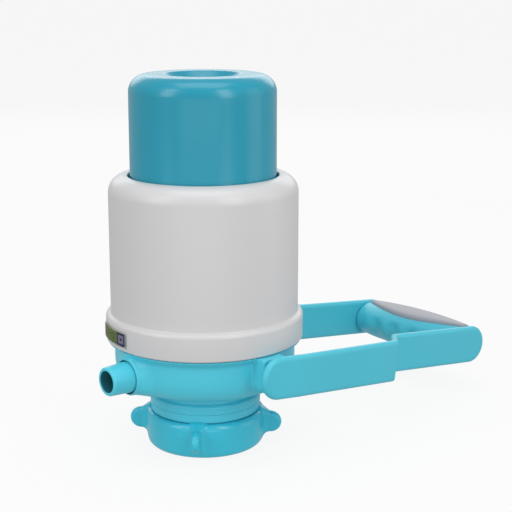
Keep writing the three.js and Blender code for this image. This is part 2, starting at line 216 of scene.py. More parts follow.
CAP_TINT = (0.010, 0.292, 0.412, 1.0)
BODY_TINT = (0.078, 0.610, 0.770, 1.0)
# The ring's colour is the body's plastic made darker: painted shade for the lesser light under the drum.
RING_TINT_AND_SHADE = (0.040, 0.545, 0.715, 1.0)
SHELL_TINT = (0.620, 0.618, 0.626, 1.0)
INSERT_TINT = (0.39, 0.40, 0.44, 1.0)
MILKY_TINT = (0.74, 0.75, 0.72, 1.0)
cap_plastic = moulded("cap_plastic", CAP_TINT, 0.25)
body_plastic = moulded("body_plastic", BODY_TINT, 0.33)
# The handle's colour is the body's tint made darker: painted shade for the light that falls off along the
# handle.
handle_plastic = moulded("handle_plastic", shade(BODY_TINT, 0.88), 0.36)
ring_plastic = moulded("ring_plastic", RING_TINT_AND_SHADE, 0.22)
shell_plastic = moulded("shell_plastic", SHELL_TINT, 0.32, drift=0.012)
insert_plastic = moulded("insert_plastic", INSERT_TINT, 0.50, drift=0.02)
milky_plastic = moulded("milky_plastic", MILKY_TINT, 0.48, drift=0.03)
print("plastics:", [m.name for m in bpy.data.materials if m.name.endswith("plastic")])

# %% [markdown]
# Rubber is darker and duller, with a coarser skin and a dusty bloom. The pins are drawn steel wire, so
# their fine lines run along the pin.
# %% Rubber and steel
def rubber_finish():
    finish = Finish("valve_rubber")
    bloom = finish.noise(3.5, 4.0)
    finish.set(Base_Color=finish.blend(bloom, (0.016, 0.020, 0.022, 1), (0.045, 0.050, 0.052, 1)))
    finish.set(Roughness=bloom * 0.25 + 0.55)
    finish.set(Normal=finish.bump(finish.noise(0.25, 3.0), 0.02, 0.5))
    return finish.material


def steel_finish():
    finish = Finish("drawn_steel")
    lines = finish.noise(1.2, 2.0, stretch=(6, 0.15, 6))
    finish.set(Base_Color=finish.blend(lines, (0.46, 0.47, 0.49, 1), (0.62, 0.63, 0.64, 1)))
    finish.set(Roughness=lines * 0.2 + 0.2)
    finish.set(Normal=finish.bump(lines, 0.004, 0.5))
    finish.shader.inputs["Metallic"].default_value = 1.0
    return finish.material


valve_rubber = rubber_finish()
drawn_steel = steel_finish()
print("rubber and steel ready")

# %% [markdown]
# ## Turned pieces
# The cap, the shell and most of what is inside are bodies of revolution. On a lathe one outline is enough,
# and Geometry Nodes can do the same: the outline is a curve of radius and height, and Curve to Mesh carries
# it round a circle. The outline itself comes from a list of corners, each with its own rounding, because
# no moulded edge is sharp.
# %% Outlines with rounded corners
def arc(centre_r, centre_z, half_r, half_z, start, end, steps=20):
    """Points of an elliptical arc, in degrees."""
    turns = np.radians(np.linspace(start, end, steps + 1))
    return [(centre_r + half_r * math.cos(t), centre_z + half_z * math.sin(t)) for t in turns]


def rounded(corners, steps=5):
    """An outline whose corners (r, z, radius) are rounded; a corner without a radius stays as it is."""
    outline = []
    count = len(corners)
    for i, corner in enumerate(corners):
        if len(corner) == 2:
            outline.append(tuple(corner))
            continue
        here = Vector(corner[:2])
        back = (Vector(corners[i - 1][:2]) - here).normalized()
        ahead = (Vector(corners[(i + 1) % count][:2]) - here).normalized()
        opening = back.angle(ahead) / 2
        reach = corner[2] / math.tan(opening)
        centre = here + (back + ahead).normalized() * (corner[2] / math.sin(opening))
        first = here + back * reach - centre
        last = here + ahead * reach - centre
        sweep = first.angle_signed(last)
        for k in range(steps + 1):
            spoke = first.copy()
            spoke.rotate(Matrix.Rotation(-sweep * k / steps, 2))
            outline.append(tuple(centre + spoke))
    return outline


square = rounded([(0, 0), (10, 0, 2), (10, 10, 2), (0, 10)])
print("a rounded corner takes", len(square) - 2, "points for two corners, widest", max(p[0] for p in square))

# %% The lathe as a node tree
def new_tree(name, sockets):
    tree = bpy.data.node_groups.new(name, "GeometryNodeTree")
    for label, kind in sockets:
        tree.interface.new_socket(label, in_out="INPUT", socket_type=kind)
    tree.interface.new_socket("Geometry", in_out="OUTPUT", socket_type="NodeSocketGeometry")
    return tree


def add(tree, kind, inputs=None, **settings):
    """A node of a geometry tree; inputs are numbers, or (node, output) pairs to link from."""
    made = tree.nodes.new(kind)
    for name, value in settings.items():
        setattr(made, name, value)
    for socket, value in (inputs or {}).items():
        if isinstance(value, tuple) and isinstance(value[0], bpy.types.Node):
            tree.links.new(value[0].outputs[value[1]], made.inputs[socket])
        else:
            made.inputs[socket].default_value = value
    return made


def close_tree(tree, last, entry):
    real = add(tree, "GeometryNodeRealizeInstances", {"Geometry": (last, 0)})
    paint = add(tree, "GeometryNodeSetMaterial", {"Geometry": (real, 0), "Material": (entry, "Finish")})
    add(tree, "NodeGroupOutput", {0: (paint, 0)})


def lathe_tree():
    sockets = [
        ("Outline", "NodeSocketObject"),
        ("Sides", "NodeSocketInt"),
        ("Circle radius", "NodeSocketFloat"),
        ("Finish", "NodeSocketMaterial"),
    ]
    tree = new_tree("lathe", sockets)
    entry = tree.nodes.new("NodeGroupInput")
    outline = add(tree, "GeometryNodeObjectInfo", {"Object": (entry, "Outline")})
    circle = {"Resolution": (entry, "Sides"), "Radius": (entry, "Circle radius")}
    path = add(tree, "GeometryNodeCurvePrimitiveCircle", circle)
    swept = {"Curve": (path, 0), "Profile Curve": (outline, "Geometry")}
    sweep = add(tree, "GeometryNodeCurveToMesh", swept)
    weld = add(tree, "GeometryNodeMergeByDistance", {"Geometry": (sweep, 0), "Distance": 0.002})
    close_tree(tree, weld, entry)
    return tree


LATHE = lathe_tree()
print("lathe tree with", len(LATHE.nodes), "nodes")

# %% Running a tree, and the lathe itself
def run_tree(tree, name, values):
    """The mesh that a geometry tree makes from these named inputs."""
    holder = bpy.data.objects.new(name, bpy.data.meshes.new(name))
    bpy.context.scene.collection.objects.link(holder)
    modifier = holder.modifiers.new("tree", "NODES")
    modifier.node_group = tree
    for item in tree.interface.items_tree:
        if item.in_out == "INPUT" and item.name in values:
            modifier[item.identifier] = values[item.name]
    ready = holder.evaluated_get(bpy.context.evaluated_depsgraph_get())
    mesh = bpy.data.meshes.new_from_object(ready)
    holder.modifiers.remove(modifier)
    bpy.data.objects.remove(holder)
    return mesh


def face_out(mesh):
    """All faces point away from the inside, whichever way the outline ran."""
    work = bmesh.new()
    work.from_mesh(mesh)
    bmesh.ops.recalc_face_normals(work, faces=work.faces)
    if work.calc_volume(signed=True) < 0:
        bmesh.ops.reverse_faces(work, faces=work.faces)
    work.to_mesh(mesh)
    work.free()
    return mesh


CIRCLE_R = 500.0  # any radius well past the widest piece


def turned(name, outline, finish, sides=192):
    """A closed piece of revolution about Z, in millimetres."""
    curve = bpy.data.curves.new(name + "_outline", "CURVE")
    curve.dimensions = "2D"
    spline = curve.splines.new("POLY")
    spline.points.add(len(outline) - 1)
    for point, (r, z) in zip(spline.points, outline):
        point.co = (r - CIRCLE_R, -z, 0, 1)
    spline.use_cyclic_u = not (outline[0][0] == 0 and outline[-1][0] == 0)
    holder = bpy.data.objects.new(name + "_outline", curve)
    bpy.context.scene.collection.objects.link(holder)
    values = {"Outline": holder, "Sides": sides, "Circle radius": CIRCLE_R, "Finish": finish}
    mesh = run_tree(LATHE, name, values)
    bpy.data.objects.remove(holder)
    bpy.data.curves.remove(curve)
    return face_out(mesh)


trial = turned("trial", [(0, 1), (10, 1), (10, 4), (0, 4)], cap_plastic, 24)
spread = np.array([v.co for v in trial.vertices])
print("trial disc", len(trial.polygons), "faces from", spread.min(0).round(3), "to", spread.max(0).round(3))
bpy.data.meshes.remove(trial)

# %% [markdown]
# ## Moulded pieces
# The base, the clamp ring and the handle are not bodies of revolution, and what makes them look moulded is
# the fillet wherever two shapes meet. A boolean leaves a sharp line there. Here a piece is written as a
# distance: a function that is negative inside and positive outside. Two distances joined with a soft
# minimum meet in a fillet, and with a soft maximum in a rounded edge. `skin` then wraps a mesh round the
# zero level: one vertex in each grid cell that the surface passes through, relaxed, and pulled exactly
# onto the surface by Newton's method.
# %% Distances
def soft_join(one, other, fillet):
    """Both solids, with a fillet where they meet."""
    near = np.maximum(fillet - np.abs(one - other), 0) / fillet
    return np.minimum(one, other) - near * near * fillet / 4


def soft_meet(one, other, rounding):
    """What two solids share, with its edge rounded."""
    return -soft_join(-one, -other, rounding)


def soft_cut(body, tool, rounding):
    """The body without the tool."""
    return soft_meet(body, -tool, rounding)


def soft_box(offsets, halves, corner):
    """A block with round corners, from the offsets of a point to its middle."""
    past = [np.abs(offset) - (half - corner) for offset, half in zip(offsets, halves)]
    outside = np.sqrt(sum(np.maximum(p, 0) ** 2 for p in past))
    return outside + np.minimum(np.maximum.reduce(past), 0) - corner


def strip(u, v, path):
    """Distance from a line through the points of a path."""
    best = None
    for (au, av), (bu, bv) in zip(path, path[1:]):
        run_u, run_v = bu - au, bv - av
        along = ((u - au) * run_u + (v - av) * run_v) / (run_u**2 + run_v**2)
        along = np.clip(along, 0, 1)
        gap = np.hypot(u - au - along * run_u, v - av - along * run_v)
        best = gap if best is None else np.minimum(best, gap)
    return best


print("a fillet of 4 adds", float(-soft_join(np.array(0.0), np.array(0.0), 4.0)), "mm in the corner")

# %% Wrapping a mesh round a distance
def gradient(distance, points, reach=0.02):
    """Distance and its slope at each point."""
    slope = np.empty_like(points)
    for axis in range(3):
        step = np.zeros(3)
        step[axis] = reach
        ahead = distance(*(points + step).T)
        behind = distance(*(points - step).T)
        slope[:, axis] = (ahead - behind) / (2 * reach)
    return distance(*points.T), slope


def settle(distance, points, rounds):
    """Points pulled onto the surface."""
    for _ in range(rounds):
        value, slope = gradient(distance, points)
        size = np.maximum((slope**2).sum(1), 0.05)
        points = points - np.clip(value / size, -0.6, 0.6)[:, None] * slope
    return points


def relax(points, quads):
    """Each point moved to the middle of its neighbours."""
    pairs = np.vstack([quads[:, [i, (i + 1) % 4]] for i in range(4)])
    count = np.bincount(pairs[:, 0], minlength=len(points)) + np.bincount(pairs[:, 1], minlength=len(points))
    total = np.empty_like(points)
    for axis in range(3):
        forward = np.bincount(pairs[:, 0], points[pairs[:, 1], axis], len(points))
        backward = np.bincount(pairs[:, 1], points[pairs[:, 0], axis], len(points))
        total[:, axis] = forward + backward
    return total / count[:, None]


# %% The skin
def cell_faces(inside, cell):
    """Quads between the four cells round each grid edge that crosses the surface."""
    quads = []
    for axis in range(3):
        solid = np.moveaxis(inside, axis, 0)
        index = np.moveaxis(cell, axis, 0)
        if axis == 1:
            solid, index = solid.swapaxes(1, 2), index.swapaxes(1, 2)
        crossing = solid[:-1] != solid[1:]
        i, j, k = np.nonzero(crossing[:, 1:-1, 1:-1])
        j, k = j + 1, k + 1
        ring = np.stack([index[i, j - 1, k - 1], index[i, j, k - 1], index[i, j, k], index[i, j - 1, k]], 1)
        flip = ~solid[i, j, k]
        ring[flip] = ring[flip][:, ::-1]
        quads.append(ring)
    return np.vstack(quads)


def skin(name, distance, low, high, step, finish):
    """A mesh on the zero level of a distance, in millimetres."""
    grid = [np.arange(a - 2 * step, b + 3 * step, step) for a, b in zip(low, high)]
    field = distance(*np.meshgrid(*grid, indexing="ij"))
    inside = field < 0
    corners = [inside[i : i + inside.shape[0] - 1, j : j + inside.shape[1] - 1, k : k + inside.shape[2] - 1]
               for i in (0, 1) for j in (0, 1) for k in (0, 1)]
    mixed = np.logical_or.reduce(corners) & ~np.logical_and.reduce(corners)
    cell = np.full(mixed.shape, -1)
    cell[mixed] = np.arange(mixed.sum())
    points = np.stack([axis[i] + step / 2 for axis, i in zip(grid, np.nonzero(mixed))], 1)
    quads = cell_faces(inside, cell)
    for _ in range(3):
        points = settle(distance, relax(points, quads), 2)
    points = settle(distance, points, 2)
    mesh = bpy.data.meshes.new(name)
    mesh.from_pydata(points.tolist(), [], quads.tolist())
    mesh.materials.append(finish)
    return face_out(mesh)


def ball_distance(x, y, z):
    return np.sqrt(x * x + y * y + z * z) - 10


ball = skin("ball", ball_distance, (-10, -10, -10), (10, 10, 10), 1.5, cap_plastic)
reach = [v.co.length for v in ball.vertices]
print("trial ball:", len(ball.polygons), "faces, radius", round(min(reach), 4), "to", round(max(reach), 4))
bpy.data.meshes.remove(ball)

# %% [markdown]
# Most holes and bores are sharp and exact, so they are booleans: a moulded skin outside, and lathe tools
# for what is cut away inside. Only a bore with a soft edge is written into the distance itself.
# %% Cutting and keeping
def stand(mesh):
    """A mesh as an object in the scene."""
    piece = bpy.data.objects.new(mesh.name, mesh)
    bpy.context.scene.collection.objects.link(piece)
    return piece


def carve(mesh, *tools):
    """The mesh without the tools, which are used up."""
    piece = stand(mesh)
    for tool in tools:
        cutter = stand(tool)
        modifier = piece.modifiers.new("cut", "BOOLEAN")
        modifier.operation = "DIFFERENCE"
        modifier.solver = "MANIFOLD"
        modifier.object = cutter
        cut = bpy.data.meshes.new_from_object(piece.evaluated_get(bpy.context.evaluated_depsgraph_get()))
        piece.modifiers.remove(modifier)
        piece.data = cut
        bpy.data.objects.remove(cutter)
    done = piece.data
    bpy.data.objects.remove(piece)
    return done


def along_x(mesh, height):
    """A turned mesh laid down so that its axis runs along X at that height."""
    mesh.transform(Matrix.Translation((0, 0, height)) @ Matrix.Rotation(math.radians(90), 4, "Y"))
    return mesh


def along_y(mesh, height=PIVOT_Z):
    """A turned mesh laid down so that its axis runs along Y at that height."""
    mesh.transform(Matrix.Translation((0, 0, height)) @ Matrix.Rotation(math.radians(-90), 4, "X"))
    return mesh


INTO_FRAME = Matrix.Translation((AXIS_X, 0, 0)) @ Matrix.Scale(MM, 4)
made = []


def keep(mesh, node, body, finish, crease=32):
    """Puts a finished mesh into the frame in place of its CAD node."""
    mesh.transform(INTO_FRAME)
    mesh.materials.clear()
    mesh.materials.append(finish)
    for face in mesh.polygons:
        face.material_index = 0
    mesh.shade_smooth()
    mesh.set_sharp_from_angle(angle=math.radians(crease))
    piece = stand(mesh)
    piece.name = mesh.name = node + "_detail"
    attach(piece, body)
    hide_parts(node)
    triangles = sum(len(face.vertices) - 2 for face in mesh.polygons)
    made.append((node, triangles))
    print(node, triangles, "triangles")
    return piece


# %% [markdown]
# ## The press cap
# A deep cup, upside down, with a wide soft edge and a shallow dish for the palm. A stop rib near its
# foot holds it in the shell. It is one turned outline: the outside first, then back down the inside.
# %% Press cap
CAP_R = 41.6
CAP_WALL = 2.6
CAP_TOP = cap_high.z / MM
CAP_EDGE = 10.0
CAP_FOOT = cap_low.z / MM
DISH_R = 21.2
DISH_DEEP = 4.0
RIB_TOP, RIB_HIGH = 155.4, 2.4
RIB_R = (cap_high.x - cap_low.x) / 2 / MM


def cap_outline():
    edge_r, edge_z = CAP_R - CAP_EDGE, CAP_TOP - CAP_EDGE
    floor = CAP_TOP - DISH_DEEP
    dish = rounded([
        (edge_r, CAP_TOP), (DISH_R + 0.9, CAP_TOP, 1.6), (DISH_R - 3.4, floor, 3.2), (0, floor),
    ], 9)
    inner_edge = CAP_EDGE - CAP_WALL
    under = [(0, floor - CAP_WALL), (DISH_R - 4, floor - CAP_WALL), (DISH_R, CAP_TOP - CAP_WALL)]
    inside = arc(edge_r, edge_z, inner_edge, inner_edge, 90, 0, 14)
    foot = rounded([
        (CAP_R - CAP_WALL, CAP_FOOT + 20), (CAP_R - CAP_WALL, CAP_FOOT, 0.6), (CAP_R, CAP_FOOT, 0.6),
        (CAP_R, RIB_TOP - RIB_HIGH, 0.4), (RIB_R, RIB_TOP - RIB_HIGH, 0.5), (RIB_R, RIB_TOP, 0.5),
        (CAP_R, RIB_TOP, 0.5), (CAP_R, CAP_TOP - CAP_EDGE - 5),
    ], 4)
    outside = arc(edge_r, edge_z, CAP_EDGE, CAP_EDGE, 0, 90, 28)
    return under + inside + foot + outside[:-1] + dish


cap = turned("press_cap", cap_outline(), cap_plastic)
keep(cap, "press_cap", "cap", cap_plastic)

# %% [markdown]
# ## The outer shell
# A plain white drum with a round shoulder and a slightly wider skirt. The step between wall and
# skirt is a soft bead of light on the real one, so its two corners are rounded by different amounts.
# %% Outer shell
SHELL_R = 54.1
SHELL_WALL = 2.4
SKIRT_R = 57.0
SKIRT_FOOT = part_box("outer_shell")[0].z / MM
SKIRT_TOP = 77.0
SHOULDER_Z = 149.4
SHOULDER_ROUND = 10.0
OPENING_R = 42.9


def shell_outline():
    centre = SHELL_R - SHOULDER_ROUND
    inner = SHOULDER_ROUND - SHELL_WALL
    stop = math.degrees(math.acos((OPENING_R - centre) / inner))
    skirt = rounded([
        (SKIRT_R - SHELL_WALL, SKIRT_FOOT + 4), (SKIRT_R - SHELL_WALL, SKIRT_FOOT, 0.3),
        (SKIRT_R - 0.1, SKIRT_FOOT, 1.2), (SKIRT_R, SKIRT_FOOT + 8), (SKIRT_R, SKIRT_TOP + 2.6, 2.6),
        (SHELL_R, SKIRT_TOP + 3.4, 0.8), (SHELL_R, SKIRT_TOP + 9),
    ], 8)
    shoulder = arc(centre, SHOULDER_Z, SHOULDER_ROUND, SHOULDER_ROUND, 0, 88, 30)
    lip = arc(OPENING_R + 0.9, SHOULDER_Z + SHOULDER_ROUND - 0.9, 0.9, 0.85, 90, 180, 6)
    inside = arc(centre, SHOULDER_Z, inner, inner, stop, 0, 16)
    step = [(SHELL_R - SHELL_WALL, SKIRT_TOP + 3), (SKIRT_R - SHELL_WALL, SKIRT_TOP - 1)]
    return skirt + shoulder + lip + inside + step


shell = turned("outer_shell", shell_outline(), shell_plastic, 224)
keep(shell, "outer_shell", "pump", shell_plastic)

# %% [markdown]
# ## The sticker on the skirt
# A printed film wraps a short way round the skirt. It is drawn as a thin curved sheet with its own
# plain print: a leaf green field, and a dark blue field with a pale frame in it. The print is only
# colour fields, laid out by the angle round the pump and by the height.
# %% Sticker
LABEL_FROM, LABEL_TO = 150.0, 182.0
LABEL_LOW, LABEL_HIGH = (corner.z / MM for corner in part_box("skirt_label"))
LABEL_SPLIT = 173.4
STICKER_R, STICKER_THICK = 57.7, 0.4


def sticker_mesh():
    """A thin curved sheet, closed all round."""
    work = bmesh.new()
    turns = np.linspace(LABEL_FROM, LABEL_TO, 49)
    heights = np.linspace(LABEL_LOW, LABEL_HIGH, 9)
    rows = []
    for turn in np.radians(turns):
        x, y = STICKER_R * math.cos(turn), STICKER_R * math.sin(turn)
        rows.append([work.verts.new((x, y, z)) for z in heights])
    for one, other in zip(rows, rows[1:]):
        for k in range(len(heights) - 1):
            work.faces.new([one[k], other[k], other[k + 1], one[k + 1]])
    bmesh.ops.solidify(work, geom=work.faces[:], thickness=STICKER_THICK)
    mesh = bpy.data.meshes.new("sticker")
    work.to_mesh(mesh)
    work.free()
    return face_out(mesh)


def between(value, low, high):
    return (value > low) * (value < high)


def label_finish():
    finish = Finish("printed_film")
    local = finish.place_from((AXIS_X, 0, 0))
    x, y, z = [finish.node("ShaderNodeSeparateXYZ", {}, {0: local}, output=axis) for axis in range(3)]
    turn = math.pi - finish.node("ShaderNodeMath", {"operation": "ARCTAN2"}, {0: y, 1: x * -1.0})
    split, end = math.radians(LABEL_SPLIT), math.radians(LABEL_TO - 0.7)
    low, high = (LABEL_LOW + 0.7) * MM, (LABEL_HIGH - 0.5) * MM
    printed = between(z, low, high) * (turn < end)

    def inset(degrees, rise):
        wide = math.radians(degrees)
        return between(turn, split + wide, end - wide) * between(z, low + rise * MM, high - rise * MM)

    outer, hole = inset(1.3, 1.3), inset(3.0, 2.9)
    blotch = finish.noise(1.6, 1.0)
    leaf = finish.blend((blotch > 0.53) * 0.75, colour(134, 160, 82), colour(66, 96, 40))
    ink = finish.blend((outer - hole) * 0.75, colour(50, 46, 92), colour(185, 178, 215))
    fields = finish.blend(turn > split, leaf, ink)
    finish.set(Base_Color=finish.blend(printed, colour(205, 208, 206), fields))
    finish.set(Roughness=finish.noise(2.5, 3.0) * 0.2 + 0.25)
    finish.set(Normal=finish.bump(finish.noise(1.8, 2.0), 0.01, 0.4))
    return finish.material


printed_film = label_finish()
keep(sticker_mesh(), "skirt_label", "pump", printed_film)

# %% [markdown]
# ## The base
# One moulding carries everything: the drum, a bevelled lip under the skirt, the neck's collar, two ears
# for the handle and the block that the spout grows out of. Each is a simple distance, and the soft joins
# give the fillets that catch the light beside the ears and round the spout.
# %% Base: the shapes
DRUM_R = 52.3
DRUM_A, DRUM_B = 14.0, 17.4
DRUM_BEND = 2.5  # 2 is an ellipse, more is squarer
DRUM_MID = 55.0
LIP_LOW, LIP_HIGH = 60.3, 64.0
LIP_OUT = 4.0
BASE_TOP = SKIRT_FOOT - 0.3
TONGUE_R = SKIRT_R - SHELL_WALL - 0.3
COLLAR_R = 32.2
COLLAR_FOOT = 20.9
COLLAR_TOP = 31.5
SLEEVE_R = 30.6
SLEEVE_FOOT = 7.6
EAR_FACE = 61.8
EAR_HALF = 8.0
EAR_ROUND = 6.5
EAR_FOOT = 43.5
SPOUT_Z = 50.3
STUB_R = 10.7
STUB_X = -56.0
BLOCK_X, BLOCK_HALVES, BLOCK_CORNER = -40, (13.6, 13.0, 9.4), 5.5


def drum(x, y, z):
    r = np.hypot(x, y)
    side = np.maximum(r - (DRUM_R - DRUM_A), 0) / DRUM_A
    foot = np.maximum(DRUM_MID - z, 0) / DRUM_B
    wall = ((side**DRUM_BEND + foot**DRUM_BEND) ** (1 / DRUM_BEND) - 1) * DRUM_A
    rise = LIP_HIGH - LIP_LOW
    bevel = ((r - DRUM_R) * rise - (z - LIP_LOW) * LIP_OUT) / math.hypot(rise, LIP_OUT)
    lip = np.maximum(soft_meet(bevel, r - (DRUM_R + LIP_OUT), 0.7), 56 - z)
    return soft_join(wall, lip, 0.8)


def neck(x, y, z):
    r = np.hypot(x, y)
    taper = COLLAR_R - 0.2 + 0.045 * (z - COLLAR_FOOT)
    collar = soft_meet(soft_meet(r - taper, z - COLLAR_TOP, 2.2), COLLAR_FOOT - z, 0.8)
    sleeve = soft_meet(r - SLEEVE_R, SLEEVE_FOOT - z, 0.6)
    return np.maximum(soft_join(collar, sleeve, 1.0), z - 45)


def ears(x, y, z):
    level = EAR_FOOT + EAR_ROUND
    beside = np.maximum(np.abs(x) - EAR_HALF + EAR_ROUND, 0)
    low_corner = np.hypot(beside, np.maximum(level - z, 0)) - EAR_ROUND
    face = soft_meet(low_corner, np.abs(y) - EAR_FACE, 1.4)
    return np.maximum(face, 30 - np.abs(y))


def spout_block(x, y, z):
    block = soft_box((x - BLOCK_X, y, z - SPOUT_Z), BLOCK_HALVES, BLOCK_CORNER)
    stub = soft_meet(np.hypot(y, z - SPOUT_Z) - STUB_R, STUB_X - x, 1.3)
    return soft_join(block, np.maximum(stub, x + 35), 3.0)


def base_distance(x, y, z):
    body = soft_join(drum(x, y, z), neck(x, y, z), 1.0)
    body = soft_join(body, ears(x, y, z), 1.4)
    body = soft_join(body, spout_block(x, y, z), 5.0)
    r = np.hypot(x, y)
    tongue = np.maximum(r - TONGUE_R, z - 72)
    body = soft_meet(body, z - BASE_TOP, 0.5)
    return np.minimum(body, np.maximum(tongue, LIP_HIGH - 1 - z))


BASE_STEP = 0.72
base = skin("base", base_distance, (-57, -62, 7), (57, 62, 72.5), BASE_STEP, body_plastic)
print("base skin", len(base.polygons), "quads")

# %% Base: what is cut away
SEAT_Z = 30.5
PLATE_TOP = SEAT_Z + 3.7
DECK_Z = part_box("deck_plate")[0].z / MM
PORT_R, PORT_OUT = 2.2, 15


def base_tools():
    inner = DRUM_R - SHELL_WALL
    well = [(0, PLATE_TOP), (29.4, PLATE_TOP), (31, 40)]
    well += arc(DRUM_R - DRUM_A, DRUM_MID, DRUM_A - SHELL_WALL, DRUM_B - 3.0, -90, 0, 14)
    well += [(inner, DECK_Z - 0.3), (inner + 1.2, DECK_Z - 0.3), (inner + 1.2, 75), (0, 75)]
    tools = [turned("well", well, body_plastic, 96)]
    socket = [(0, 5), (29, 5), (29, SEAT_Z), (5, SEAT_Z), (5, 36), (0, 36)]
    tools.append(turned("socket", socket, body_plastic, 128))
    groove = [(COLLAR_R - 0.35, 25.9), (COLLAR_R + 1.2, 25.45), (COLLAR_R + 1.2, 26.35)]
    tools.append(turned("groove", groove, body_plastic, 160))
    seat = [(0, -60), (9.7, -60), (9.7, STUB_X + 1.4), (9.2, STUB_X + 1.4), (9.2, -43), (0, -43)]
    tools.append(along_x(turned("spout_hole", seat, body_plastic, 64), SPOUT_Z))
    for side in (-1, 1):
        hole = [(0, 44 * side), (4.3, 44 * side), (4.3, 64 * side), (0, 64 * side)]
        tools.append(along_y(turned("bearing", hole, body_plastic, 48)))
    for degrees in (60, 180, 300):
        port = turned("port", [(0, 29), (PORT_R, 29), (PORT_R, 36), (0, 36)], body_plastic, 24)
        turn = math.radians(degrees)
        port.transform(Matrix.Translation((PORT_OUT * math.cos(turn), PORT_OUT * math.sin(turn), 0)))
        tools.append(port)
    return tools


keep(carve(base, *base_tools()), "base_body", "pump", body_plastic)

# %% [markdown]
# ## The spout
# A short nozzle pushed into the base: a little narrower at its mouth, so that a hose goes on. Its mouth
# has a rounded edge and a clean bore. A rubber ring seals it in the base.
# %% Spout nozzle and its ring
def nozzle_finish():
    """The body's plastic, with painted shade darkening the inside of the bore."""
    finish = Finish("nozzle_plastic")
    local = finish.place_from((0, 0, SPOUT_Z * MM))
    flat = finish.node("ShaderNodeVectorMath", {"operation": "MULTIPLY"}, {0: local, 1: (0, 1, 1)})
    radius = finish.node("ShaderNodeVectorMath", {"operation": "LENGTH"}, {0: flat}, output="Value")
    # painted shade: inside the bore the colour is darkened to stand in for the shade deep in the tube
    bore_shade = radius < (BORE_R + 0.12) * MM
    flow = finish.noise(20, 3.0)
    outside_bore = finish.blend(flow, shade(BODY_TINT, 0.96), shade(BODY_TINT, 1.04))
    finish.set(Base_Color=finish.blend(bore_shade, outside_bore, shade(BODY_TINT, 0.3)))
    finish.set(Roughness=finish.noise(7, 4.0) * 0.1 + 0.28)
    finish.set(Normal=finish.bump(finish.noise(GRAIN_MM, 2.0), GRAIN_DEEP, GRAIN_STRENGTH))
    return finish.material


SPOUT_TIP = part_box("spout_nozzle")[0].x / MM - AXIS_X / MM
NOZZLE_R, NOZZLE_TIP_R, BORE_R = 8.85, 8.1, 6.15
nozzle_outline = rounded([
    (BORE_R, SPOUT_TIP, 0.5), (NOZZLE_TIP_R, SPOUT_TIP, 1.1), (NOZZLE_R, STUB_X), (NOZZLE_R, -44, 0.4),
    (BORE_R, -44, 0.4),
], 6)
nozzle = along_x(turned("nozzle", nozzle_outline, body_plastic, 96), SPOUT_Z)
keep(nozzle, "spout_nozzle", "pump", nozzle_finish())
ring_section = arc(NOZZLE_R + 0.5, STUB_X + 0.95, 0.3, 0.4, 0, 345, 15)
seal = along_x(turned("seal", ring_section, valve_rubber, 64), SPOUT_Z)
keep(seal, "spout_o_ring", "pump", valve_rubber)

# %% [markdown]
# ## The clamp ring
# The ring turns on the neck's thread, and its four wings give the fingers a hold. A point is folded into
# one quarter turn first, so one wing's distance makes all four.
# %% Clamp ring
RING_R = 35.0
RING_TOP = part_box("clamp_ring")[1].z / MM
WING_TURN = math.radians(43.6)
WING_THICK = 4.6
RING_FOOT_R, RING_FLARE = 34.2, 0.09
RING_EDGE_R, RING_EDGE_Z = 2.6, 4.4
WING_ROOT, WING_RUN = 33, 5.7  # how far out the wing's outline starts, and how far it goes
WING_Z, WING_DROP = 13.2, 0.8
WING_HIGH, WING_NARROWS = 7.3, 1.0


def ring_distance(x, y, z):
    r = np.hypot(x, y)
    wall = np.maximum(r - RING_R, (r - RING_FOOT_R) - RING_FLARE * (z - 4))
    past_r = np.maximum(r - (RING_R - RING_EDGE_R), 0)
    past_z = np.maximum(z - (RING_TOP - RING_EDGE_Z), 0)
    top = np.hypot(past_r / RING_EDGE_R, past_z / RING_EDGE_Z)
    outside = np.maximum(soft_meet(wall, -z, 4.5), (top - 1) * RING_EDGE_R)
    quarter = math.pi / 2
    turn = np.mod(np.arctan2(y, x) - WING_TURN + quarter / 2, quarter) - quarter / 2
    out, across = r * np.cos(turn), r * np.sin(turn)
    along = np.clip((out - WING_ROOT) / WING_RUN, 0, 1)
    middle = np.hypot(out - WING_ROOT - WING_RUN * along, z - WING_Z + WING_DROP * along)
    shape = middle - (WING_HIGH - WING_NARROWS * along)
    wing = soft_meet(shape, np.abs(across) - WING_THICK / 2, 2.4)
    body = soft_join(outside, np.maximum(wing, 31 - out), 4.2)
    bore = np.minimum(r - 29.1, np.maximum(r - 30.9, 7 - z))
    return soft_cut(body, bore, 0.7)


RING_STEP = 0.55
ring = skin("ring", ring_distance, (-45, -45, 0), (45, 45, RING_TOP), RING_STEP, ring_plastic)
keep(ring, "clamp_ring", "ring", ring_plastic)

# %% [markdown]
# ## The handle
# Two arms run along the pump's sides, step inwards past the shell, and carry the grip. They are drawn
# level, with u along the arm from the pivot and w upwards, and then drooped on the pivot as they rest.
# An arm is a strip that follows a bent path in plan, and a long pill from the side.
# %% Handle arms
DROOP = math.radians(6.7)
ARM_HALF_THICK = 2.3
ARM_HALF_HIGH = 12.1
ARM_REACH = 198.5
ARM_PATH = [(-16, 65.7), (15, 65.7), (96.6, 60.45), (112.4, 45.5), (203, 45.5)]
PIN_HOLE_R, PIN_HOLE_END = 4.2, 66.7
HANDLE_LEVEL = Matrix.Translation((0, 0, PIVOT_Z)) @ Matrix.Rotation(DROOP, 4, "Y")


def arm_distance(u, v, w):
    plan = strip(u, v, ARM_PATH) - ARM_HALF_THICK
    along = np.clip(u, -0.7, ARM_REACH - ARM_HALF_HIGH)
    flare = 0.6 * np.clip((u - 20) / 75, 0, 1) - 0.65 * np.clip((u - 99) / 8, 0, 1)
    pill = np.hypot(u - along, w) - ARM_HALF_HIGH - flare
    return soft_meet(plan, pill, 2.6)


